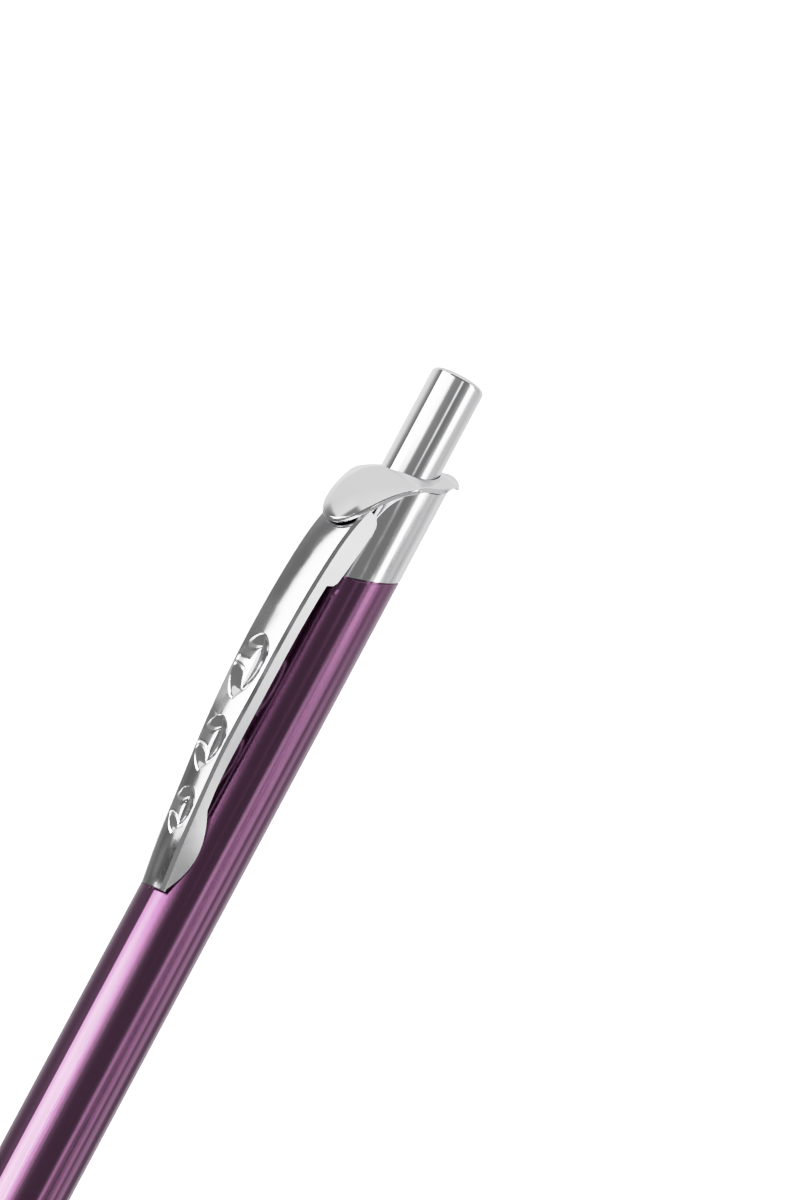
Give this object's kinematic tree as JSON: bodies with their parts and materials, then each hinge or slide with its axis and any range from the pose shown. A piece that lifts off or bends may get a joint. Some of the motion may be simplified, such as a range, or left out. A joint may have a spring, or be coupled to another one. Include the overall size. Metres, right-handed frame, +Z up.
{
  "type": "retractable click pen",
  "caption": "Slim two-tone ball pen with a push button, an oblique hood over a stamped spring clip, a screw-off nose cone and a sprung refill.",
  "frame": {"origin": "under the middle of the bounding box, on the table that the pen lies on", "axes": "+X along the pen from the writing tip to the push button, +Y the way the clip points, +Z up: the pen lies on its side, resting on the hood's rim and the front of the barrel"},
  "size_m": [0.14, 0.0144, 0.0094],
  "materials": {
    "button_cap": "mirror-polished chrome plate",
    "button_core": "moulded acetal",
    "hood": "mirror-polished chrome plate",
    "guide_bush": "turned",
    "collar": "mirror-polished chrome plate",
    "clip": "chrome-plated spring steel",
    "cam_sleeve": "moulded acetal",
    "rotor": "moulded acetal",
    "rear_bush": "turned",
    "barrel": "violet anodised, polished",
    "front_bush": "turned and threaded",
    "nose_ring": "polished",
    "nose_cone": "mirror-polished chrome plate",
    "return_spring": "drawn spring wire",
    "refill_end_plug": "moulded",
    "refill_tube": "drawn tube",
    "refill_ink": "thick ink",
    "refill_seal": "clear grease",
    "refill_nozzle": "turned",
    "refill_point": "turned, nickel-tinted",
    "refill_ball": "ground tungsten carbide"
  },
  "bodies": {
    "casing": {"barrel": "barrel", "collar": "collar", "hood": "hood", "guide_bush": "guide_bush", "rear_bush": "rear_bush", "cam_sleeve": "cam_sleeve", "front_bush": "front_bush", "return_spring": "return_spring"},
    "push_button": {"button_cap": "button_cap", "button_core": "button_core"},
    "rotor": {"rotor": "rotor"},
    "refill": {"refill_end_plug": "refill_end_plug", "refill_tube": "refill_tube", "refill_ink": "refill_ink", "refill_seal": "refill_seal", "refill_nozzle": "refill_nozzle", "refill_point": "refill_point"},
    "ball": {"refill_ball": "refill_ball"},
    "clip": {"clip": "clip"},
    "nose_ring": {"nose_ring": "nose_ring"},
    "nose_cone": {"nose_cone": "nose_cone"}
  },
  "joints": [
    {"name": "button_slide", "type": "slide", "parent": "casing", "child": "push_button", "axis": [-1, 0, 0], "range_m": [0, 0.0068], "stiffness_N_per_m": 350, "springref_m": -0.005},
    {"name": "rotor_turn", "type": "hinge", "parent": "push_button", "child": "rotor", "pos_m": [0.0367, -0.00104, 0.00468], "axis": [1, 0, 0], "range_deg": [-2.5, 2.5]},
    {"name": "refill_slide", "type": "slide", "parent": "casing", "child": "refill", "axis": [-1, 0, 0], "range_m": [0, 0.0068], "deforming": ["return_spring"]},
    {"name": "ball_roll", "type": "hinge", "parent": "refill", "child": "ball", "pos_m": [-0.0685, -0.00104, 0.00468], "axis": [0, 1, 0], "continuous": true},
    {"name": "clip_flex", "type": "hinge", "parent": "casing", "child": "clip", "pos_m": [0.0531, 0.00316, 0.00468], "axis": [0, 0, -1], "range_deg": [0, 2.5], "stiffness_Nm_per_rad": 4.2, "springref_deg": -0.29},
    {"name": "nose_ring_slide", "type": "slide", "parent": "casing", "child": "nose_ring", "axis": [-1, 0, 0], "range_m": [0, 0.0048]},
    {"name": "nose_cone_turn", "type": "hinge", "parent": "nose_ring", "child": "nose_cone", "pos_m": [-0.0583, -0.00104, 0.00468], "axis": [-1, 0, 0], "range_deg": [0, 2160]}
  ],
  "couplings": [
    {"joint": "refill_slide", "follows": "button_slide", "ratio": 1},
    {"joint": "nose_cone_turn", "follows": "nose_ring_slide", "rad_per_m": 7854}
  ]
}
